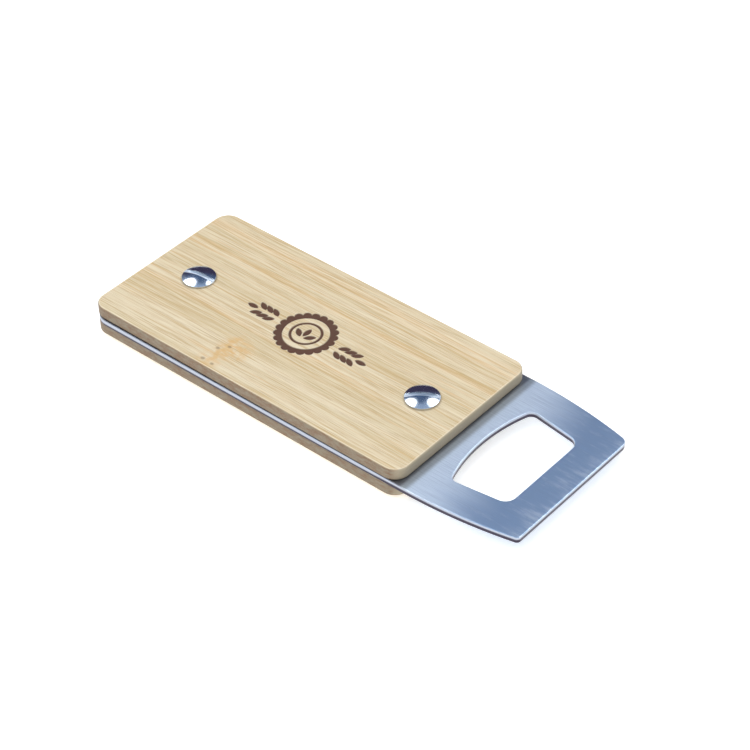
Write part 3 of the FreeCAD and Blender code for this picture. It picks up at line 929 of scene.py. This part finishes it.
def bamboo(name, colours, offset, joint):
    """Pressed bamboo: strips of different tone across the board, long fibres, tan resin streaks, a knuckle,
    a painted shadow ring round each screw head, laser-scorched edges with a painted highlight on their
    rounded rims and a painted lighter end wall by the head, and a laser-scorched engraving."""
    finish = Finish(name, 0.0, 0.55, IOR=1.45)
    x, y, z = finish.place()
    x = x - float(SCALE_CENTRE[0] / MM)
    half_length = float((SCALE_HIGH[0] - SCALE_LOW[0]) / 2 / MM)
    layer = z + offset
    drift = finish.noise(x * 0.02, y * 0.1, layer * 0.1, 1.0) - 0.5
    across = y + drift * 1.6
    strips = finish.noise(x * 0.003, across * 0.24, layer * 0.24, 2.0, 0.6)
    flow = finish.noise(x * 0.012, across * 0.9, layer * 0.9, 3.0, 0.6)
    streak = finish.noise(x * 0.035, across * 1.7, layer * 1.7, 2.0, 0.55)
    fibre = finish.noise(x * 0.06, across * 3.6, layer * 3.6, 3.0, 0.65)
    hair = finish.noise(x * 0.1, across * 7.0, layer * 7.0, 2.0, 0.65)
    tan_strips = strip(across, 18.0, 2.2) + strip(across, 10.3, 1.8) + strip(across, -6.5, 1.5) * 0.6
    pale_strips = strip(across, 14.2, 1.6) + strip(across, 6.0, 2.6)
    colour = finish.mix(strips.step(0.38, 0.62), colours.bamboo, colours.bamboo_pale)
    colour = finish.mix(pale_strips * flow.step(0.3, 0.7) * 0.7, colour, colours.bamboo_pale)
    colour = finish.mix(tan_strips * flow.step(0.3, 0.6) * 0.55, colour, colours.bamboo_orange)
    colour = finish.mix(flow.step(0.46, 0.7) * 0.5, colour, colours.bamboo_tan)
    colour = finish.mix(streak.step(0.54, 0.72) * 0.5, colour, colours.bamboo_orange)
    colour = finish.mix(fibre.step(0.5, 0.64) * 0.75, colour, colours.bamboo_tan)
    colour = finish.mix(fibre.step(0.46, 0.34) * 0.7, colour, colours.bamboo_pale)
    colour = finish.mix(hair.step(0.52, 0.66) * 0.6, colour, colours.bamboo_dark)
    colour = finish.mix(hair.step(0.48, 0.36) * 0.55, colour, colours.bamboo_pale)
    colour = knuckle(finish, colour, x, y, joint, colours)
    # Painted shadow: a dark ring painted on the wood just round each screw head.
    for centre in SCREW_CENTRES.values():
        away = square(x - float((centre[0] - SCALE_CENTRE[0]) / MM)) + square(y - float(centre[1] / MM))
        colour = finish.mix((1 - away.step(15.5, 20.0)) * 0.45, colour, colours.burnt)
    wall = finish.attribute("wall")
    cut = finish.attribute("cut")
    # Painted highlight: the rims, where the face starts to lean over, are painted paler.
    colour = finish.mix(finish.attribute("rim") * 0.6, colour, colours.bamboo_rim_highlight)
    mottle = finish.noise(x * 0.6, y * 0.6, layer * 1.5, 4.0, 0.7)
    burnt = finish.mix(mottle.step(0.3, 0.7), colours.burnt, colours.burnt_grey)
    # Painted light: the end walls by the head are painted paler, broken up by the mottle.
    painted_lit_end_mask = x.step(half_length - 2.5, half_length - 0.5)
    burnt = finish.mix(painted_lit_end_mask * (1 - mottle * 0.6), burnt, colours.painted_lit_end)
    colour = finish.mix(wall, colour, burnt)
    colour = finish.mix(cut, colour, colours.engraved)
    finish.set(Base_Color=colour, Roughness=0.5 + fibre * 0.15 + cut * 0.2)
    height = fibre * 0.5 + hair * 0.3 + flow * 0.2
    finish.bumps(height, 0.03 * MM)
    return finish.material


def brushed_steel(name, colours):
    """Steel brushed along its length: long fine scratches in the height, the roughness and the tone. The
    head's end has a finer polish, and is painted bluer as a painted reflection of the blue overhead. Beside
    the scales' end the plate is painted dark, as painted shade, with a darker painted shadow line at their
    foot. The cut edges are lighter above, as burnish and painted highlight, and dark below, where the steel
    tore and as painted shade."""
    finish = Finish(name, 1.0, 0.3)
    x, y, z = finish.place()
    broad = finish.noise(x * 0.03, y * 0.25, z * 0.25, 2.0)
    brush = finish.noise(x * 0.12, y * 5.0, z * 5.0, 3.0, 0.6)
    hair = finish.noise(x * 0.3, y * 16.0, z * 16.0, 2.0, 0.6)
    wall = finish.attribute("wall")
    end = float(PLATE_HIGH[0] / MM)
    far = end - x + broad * 9.0 - 4.5
    # Near the head's end: a finer polish, which lowers the roughness, and a painted blue reflection.
    polish_and_blue_reflection = 1 - far.step(7.0, 24.0)
    worn = 1 - far.step(-1.0, 5.0)
    scuff = finish.noise(x * 0.2, y * 0.9, z * 0.9, 4.0, 0.65)
    neck = x - float(SCALE_HIGH[0] / MM)
    low, high = (float(level / MM) for level in (PLATE_LOW[2], PLATE_HIGH[2]))
    # The lower, dark part of the cut edges grows taller towards the head, as painted shade.
    height = (z - low) * (1 / (high - low)) - neck.step(-12.0, 2.0) * 0.25
    torn_and_shaded = 1 - height.step(0.25, 0.5)
    tone = brush.step(0.35, 0.75) * 0.4 + hair.step(0.4, 0.8) * 0.25
    # Painted reflection: the head's end is painted blue.
    colour = finish.mix(polish_and_blue_reflection * 0.85, colours.steel, colours.reflected_blue_steel)
    colour = finish.mix(worn * scuff.step(0.35, 0.65) * 0.7, colour, colours.steel)
    colour = finish.mix(polish_and_blue_reflection * scuff.step(0.52, 0.7) * 0.3, colour, colours.steel)
    colour = finish.mix(tone * (1 - polish_and_blue_reflection * 0.5), colour, colours.steel_dark)
    # Painted shade: a dark band on the plate beside the scales' end, and a darker painted shadow line right
    # at their foot.
    colour = finish.mix((1 - neck.step(1.4, 2.8)) * 0.5, colour, colours.shaded)
    colour = finish.mix((1 - neck.step(0.2, 1.1)) * 0.6, colour, colours.sheared_and_shadow)
    # Cut edges: lighter above as burnish and painted highlight, dark below where the steel tore and as
    # painted shade.
    colour = finish.mix(wall, colour, finish.mix(torn_and_shaded, colours.edge, colours.sheared_and_shadow))
    roughness = 0.41 - polish_and_blue_reflection * 0.09 + brush * 0.1 - wall * 0.08
    finish.set(Base_Color=colour, Roughness=roughness)
    finish.bumps(brush * 0.5 + hair * 0.5, 0.004 * MM)
    return finish.material


def bright_plating(name, colours):
    """Bright plating with a few handling marks and a faint unevenness, duller and paler in the slot."""
    finish = Finish(name, 1.0, 0.12)
    x, y, z = finish.place()
    cloud = finish.noise(x * 0.8, y * 0.8, z * 0.8, 2.0)
    marks = finish.noise(x * 3.0, y * 14.0, z * 3.0, 3.0)
    colour = finish.mix(cloud.step(0.4, 0.7) * 0.3, colours.plating, colours.steel_dark)
    slot = finish.attribute("slot")
    colour = finish.mix(slot * 0.8, colour, colours.slot)
    finish.set(Base_Color=colour, Roughness=0.1 + marks.step(0.5, 0.8) * 0.12 + cloud * 0.05 + slot * 0.35)
    finish.bumps(cloud * 0.8 + marks * 0.2, 0.004 * MM)
    return finish.material


def floor_finish(name, colours):
    """Pale paper with a very faint unevenness, and a little light of its own."""
    finish = Finish(name, 0.0, 0.9, Emission_Strength=0.4)
    finish.set(Emission_Color=(1.0, 1.0, 1.0))
    x, y, _ = finish.place()
    cloud = finish.noise(x * 0.01, y * 0.01, 0.0, 2.0)
    finish.set(Base_Color=finish.mix(cloud * 0.03, colours.floor, (0.9, 0.9, 0.9)))
    return finish.material


# Putting pieces in the scene


def add_piece(name, mesh, material, node):
    """A finished piece that stands for a node of the frame and rides on that node's body."""
    piece = bpy.data.objects.new(name, mesh)
    bpy.context.scene.collection.objects.link(piece)
    mesh.materials.append(material)
    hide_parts(node)
    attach(piece, BODY_OF[node])
    return piece


def vertex_arrays(mesh):
    """The places and normals of a mesh's vertices."""
    places = np.zeros(len(mesh.vertices) * 3, np.float32)
    normals = np.zeros(len(mesh.vertices) * 3, np.float32)
    mesh.vertices.foreach_get("co", places)
    mesh.vertex_normals.foreach_get("vector", normals)
    return places.reshape(-1, 3).astype(float), normals.reshape(-1, 3).astype(float)


def set_attribute(mesh, name, values):
    """Stores one number for each vertex."""
    attribute = mesh.attributes.new(name, "FLOAT", "POINT")
    attribute.data.foreach_set("value", values.astype(np.float32))


def mark_walls(mesh, upright, flat):
    """The attributes "wall", 1 where the surface is nearly upright, and "rim", 1 where it starts to lean
    over, which the bamboo uses as the mask of a painted highlight. Upright and flat are how level the normal
    is where a wall starts and where it has ended."""
    places, normals = vertex_arrays(mesh)
    level = np.abs(normals[:, 2])
    set_attribute(mesh, "wall", 1 - smooth_step(upright, flat, level))
    set_attribute(mesh, "rim", smooth_step(0.8 * flat, flat, level) * (1 - smooth_step(flat, 0.999, level)))
    return places


def mark_slot(mesh, sizes, turn):
    """The attribute "slot": 1 inside the driver slot, where the plating is dull and pale."""
    places, _ = vertex_arrays(mesh)
    across = np.abs(places[:, 1] * math.cos(turn) - places[:, 0] * math.sin(turn))
    inside = (across < sizes.slot / 2 - 0.05 * MM) & (places[:, 2] > 0)
    floor = places[:, 2].max() - sizes.slot_depth
    set_attribute(mesh, "slot", np.where(inside, 1 - smooth_step(0, 0.3 * MM, places[:, 2] - floor), 0))


def shift(mesh, offset, flip=False):
    """Moves a mesh's vertices; flip turns it over about the X axis first."""
    matrix = Matrix.Translation(Vector(offset))
    if flip:
        matrix = matrix @ Matrix.Rotation(math.pi, 4, "X")
    mesh.transform(matrix)


class BuildTopScale(bpy.types.Operator):
    """Builds the top bamboo scale with its engraved ornament"""

    bl_idname = "opener.top_scale"
    bl_label = "Top Scale"

    def execute(self, context):
        scene = context.scene
        sizes, ornament = scene.opener_scales, scene.opener_ornament
        top = SCALE_HIGH[2]
        shell, border, _ = scale_shell(sizes, SCALE_LOW[2], top)
        engraved_field(shell, border, top, ornament)
        mesh = shell.mesh("top_bamboo_scale")
        places = mark_walls(mesh, *SCALE_WALL)
        near_top = smooth_step(-1.2 * ornament.depth, -1.1 * ornament.depth, places[:, 2] - top)
        set_attribute(mesh, "cut", cut_share(places[:, 0], places[:, 1], ornament) * near_top)
        material = bamboo("bamboo_top", scene.opener_colours, 0.0, TOP_KNUCKLE)
        add_piece("top_bamboo_scale", mesh, material, "top_scale")
        return {"FINISHED"}


class BuildBottomScale(bpy.types.Operator):
    """Builds the plain bottom bamboo scale"""

    bl_idname = "opener.bottom_scale"
    bl_label = "Bottom Scale"

    def execute(self, context):
        scene = context.scene
        shell, _, sides = scale_shell(scene.opener_scales, UNDER_LOW[2], UNDER_HIGH[2])
        low_side, high_side, count = sides
        face_across(shell, low_side, high_side, UNDER_HIGH[2], count)
        mesh = shell.mesh("bottom_bamboo_scale")
        places = mark_walls(mesh, *SCALE_WALL)
        set_attribute(mesh, "cut", np.zeros(len(places)))
        material = bamboo("bamboo_bottom", scene.opener_colours, 37.0, BOTTOM_KNUCKLE)
        add_piece("bottom_bamboo_scale", mesh, material, "bottom_scale")
        return {"FINISHED"}


class BuildPlate(bpy.types.Operator):
    """Builds the steel opener plate with its cap opening"""

    bl_idname = "opener.plate"
    bl_label = "Opener Plate"

    def execute(self, context):
        scene = context.scene
        mesh = plate_shell(scene.opener_plate, scene.opener_scales.hole).mesh("steel_opener_plate")
        mark_walls(mesh, *PLATE_WALL)
        material = brushed_steel("brushed_steel", scene.opener_colours)
        add_piece("steel_opener_plate", mesh, material, "opener_plate")
        return {"FINISHED"}


class BuildScrews(bpy.types.Operator):
    """Builds the two slotted screws"""

    bl_idname = "opener.screws"
    bl_label = "Screws"

    def execute(self, context):
        sizes = context.scene.opener_screws
        material = bright_plating("screw_plating", context.scene.opener_colours)
        turns = {"front": sizes.front_turn, "rear": sizes.rear_turn}
        for place in PLACES:
            name = place + "_slotted_screw"
            mesh = screw_shell(sizes, turns[place], SCREW_LOW[2] - SCALE_HIGH[2]).mesh(name)
            mark_slot(mesh, sizes, turns[place])
            x, y, _ = SCREW_CENTRES[place]
            shift(mesh, (x, y, SCALE_HIGH[2]))
            add_piece(name, mesh, material, place + "_screw")
        return {"FINISHED"}


class BuildBarrels(bpy.types.Operator):
    """Builds the two barrels that the screws go into"""

    bl_idname = "opener.barrels"
    bl_label = "Barrels"

    def execute(self, context):
        sizes = context.scene.opener_screws
        material = bright_plating("barrel_plating", context.scene.opener_colours)
        for place in PLACES:
            name = place + "_threaded_barrel"
            mesh = barrel_shell(sizes).mesh(name)
            mark_slot(mesh, sizes, 0)
            x, y, _ = SCREW_CENTRES[place]
            shift(mesh, (x, y, UNDER_LOW[2]), flip=True)
            add_piece(name, mesh, material, place + "_barrel")
        return {"FINISHED"}


# The stage

CAMERA_PLACE = (0.2547, -0.2867, 0.3315)
CAMERA_RIGHT = (0.76268, 0.64662, -0.01420)
CAMERA_UP = (-0.41146, 0.50203, 0.76070)
CAMERA_BACK = (0.49901, -0.57433, 0.64895)
CAMERA_LENS = 109.64
CAMERA_SENSOR = 36.0
CAMERA_NEAR = 0.01
FLOOR_HALF = 4.0

TENT_RADIUS = 1.2
TENT_AROUND = 48
TENT_ROWS = 13
TENT_PALE = (0.85, 0.93, 1.02)
TENT_OVERHEAD = (0.42, 0.55, 0.76)
TENT_NAVY = (0.09, 0.15, 0.28)
TENT_HORIZON = (0.06, 0.05, 0.10)
TENT_BOX = (6.0, 6.3, 6.6)

WORLD_COLOUR = (0.97, 0.98, 1.0)
WORLD_STRENGTH = 0.66
SUN_DIRECTION = (0.05, -0.42, 0.9)
SUN_STRENGTH = 1.38
SUN_ANGLE = math.radians(50)


def add_camera():
    """The camera, set by its place and by the three directions of its own axes."""
    data = bpy.data.cameras.new("camera")
    data.lens = CAMERA_LENS
    data.sensor_width = CAMERA_SENSOR
    data.clip_start = CAMERA_NEAR
    camera = bpy.data.objects.new("camera", data)
    columns = [CAMERA_RIGHT, CAMERA_UP, CAMERA_BACK]
    turn = Matrix(columns).transposed().to_4x4()
    camera.matrix_world = Matrix.Translation(CAMERA_PLACE) @ turn
    bpy.context.scene.collection.objects.link(camera)
    bpy.context.scene.camera = camera


def add_sun():
    """A broad, soft sun that the gloss doesn't see."""
    data = bpy.data.lights.new("sun", "SUN")
    data.energy = SUN_STRENGTH
    data.angle = SUN_ANGLE
    sun = bpy.data.objects.new("sun", data)
    sun.rotation_euler = Vector(SUN_DIRECTION).to_track_quat("Z", "Y").to_euler()
    sun.visible_glossy = False
    bpy.context.scene.collection.objects.link(sun)


def add_stage_mesh(name, points, faces, material, reflected_only=False):
    """A mesh that isn't part of the opener. One that is only reflected is seen by the gloss alone."""
    mesh = bpy.data.meshes.new(name)
    mesh.from_pydata(points, [], faces)
    mesh.materials.append(material)
    piece = bpy.data.objects.new(name, mesh)
    bpy.context.scene.collection.objects.link(piece)
    if reflected_only:
        piece.visible_camera = False
        piece.visible_diffuse = False
        piece.visible_shadow = False
        piece.visible_transmission = False
        piece.visible_volume_scatter = False
    return piece


def add_floor(colours):
    """A flat square at the level that the barrels rest on."""
    points = [(-FLOOR_HALF, -FLOOR_HALF, 0), (FLOOR_HALF, -FLOOR_HALF, 0),
              (FLOOR_HALF, FLOOR_HALF, 0), (-FLOOR_HALF, FLOOR_HALF, 0)]
    add_stage_mesh("floor", points, [(0, 1, 2, 3)], floor_finish("floor", colours))


def glow(name):
    """A material that only shines, and its finish for building the colour."""
    finish = Finish(name, 0.0, 1.0, Emission_Strength=1.0)
    finish.set(Base_Color=(0.0, 0.0, 0.0), Specular_IOR_Level=0.0)
    return finish


def tent_finish(name):
    """The studio as the gloss sees it: pale low down, dark blue behind, blue overhead, two soft boxes."""
    finish = glow(name)
    place = finish.wire("ShaderNodeTexCoord", {}, {}, "Object")

    def towards(direction, wide, narrow):
        """1 in a round patch of the tent in this direction, from its inner to its outer angle."""
        length = math.sqrt(sum(part * part for part in direction)) * TENT_RADIUS
        share = finish.wire("ShaderNodeVectorMath", {"operation": "DOT_PRODUCT"},
                            {0: place, 1: tuple(part / length for part in direction)}, "Value")
        return share.step(math.cos(math.radians(wide)), math.cos(math.radians(narrow)))

    colour = finish.mix(towards((0, 0, 1), 80, 30), TENT_PALE, TENT_OVERHEAD)
    colour = finish.mix(towards((-0.5, 0.57, 0.65), 44, 20), colour, TENT_NAVY)
    colour = finish.mix(towards((-0.66, 0.75, 0.0), 50, 26), colour, TENT_HORIZON)
    colour = finish.mix(towards((-0.58, -0.04, 0.81), 20, 10), colour, TENT_BOX)
    colour = finish.mix(towards((0.12, 0.55, 0.82), 18, 9), colour, TENT_BOX)
    finish.set(Emission_Color=colour)
    return finish.material


def add_tent():
    """Half a sphere over the opener: radius * (cos u cos v, sin u cos v, sin v)."""
    around = np.linspace(0, 2 * math.pi, TENT_AROUND + 1)[:-1][:, None]
    up = np.linspace(0, math.pi / 2, TENT_ROWS)[None, :]
    size = (TENT_AROUND, TENT_ROWS)
    grid = np.stack([np.cos(around) * np.cos(up), np.sin(around) * np.cos(up),
                     np.broadcast_to(np.sin(up), size)], axis=2) * TENT_RADIUS
    number = np.arange(TENT_AROUND * TENT_ROWS).reshape(size)
    beyond = np.roll(number, -1, axis=0)
    faces = np.stack([number[:, :-1], number[:, 1:], beyond[:, 1:], beyond[:, :-1]], axis=-1)
    add_stage_mesh("tent", grid.reshape(-1, 3), faces.reshape(-1, 4).tolist(), tent_finish("tent"), True)


def set_world(colour, strength):
    """Even light from all sides."""
    world = bpy.data.worlds.new("studio")
    world.use_nodes = True
    background = world.node_tree.nodes["Background"]
    background.inputs["Color"].default_value = tuple(colour) + (1.0,)
    background.inputs["Strength"].default_value = strength
    bpy.context.scene.world = world


class BuildStage(bpy.types.Operator):
    """Builds the floor, the soft lights and the camera"""

    bl_idname = "opener.stage"
    bl_label = "Stage"

    def execute(self, context):
        add_camera()
        add_floor(context.scene.opener_colours)
        add_tent()
        set_world(WORLD_COLOUR, WORLD_STRENGTH)
        add_sun()
        context.scene.view_settings.view_transform = "Standard"
        return {"FINISHED"}


SETTINGS = {
    "opener_scales": ScaleSizes,
    "opener_plate": PlateSizes,
    "opener_screws": ScrewSizes,
    "opener_ornament": OrnamentSizes,
    "opener_colours": OpenerColours,
}
OPERATORS = (BuildTopScale, BuildBottomScale, BuildPlate, BuildScrews, BuildBarrels, BuildStage)


class OpenerPanel(bpy.types.Panel):
    """Lists the pieces of the opener and their settings"""

    bl_idname = "VIEW3D_PT_opener"
    bl_label = "Bottle Opener"
    bl_space_type = "VIEW_3D"
    bl_region_type = "UI"
    bl_category = "Opener"

    def draw(self, context):
        for operator in OPERATORS:
            self.layout.operator(operator.bl_idname)
        for name, group in SETTINGS.items():
            box = self.layout.box()
            box.label(text=group.__doc__)
            for setting in group.__annotations__:
                box.prop(getattr(context.scene, name), setting)


def register():
    for group in SETTINGS.values():
        bpy.utils.register_class(group)
    for name, group in SETTINGS.items():
        setattr(bpy.types.Scene, name, PointerProperty(type=group))
    for operator in OPERATORS:
        bpy.utils.register_class(operator)
    bpy.utils.register_class(OpenerPanel)


def unregister():
    bpy.utils.unregister_class(OpenerPanel)
    for operator in reversed(OPERATORS):
        bpy.utils.unregister_class(operator)
    for name in SETTINGS:
        delattr(bpy.types.Scene, name)
    for group in SETTINGS.values():
        bpy.utils.unregister_class(group)


def main():
    register()
    bpy.ops.opener.top_scale()
    bpy.ops.opener.bottom_scale()
    bpy.ops.opener.plate()
    bpy.ops.opener.screws()
    bpy.ops.opener.barrels()
    bpy.ops.opener.stage()


if __name__ == "__main__":
    main()
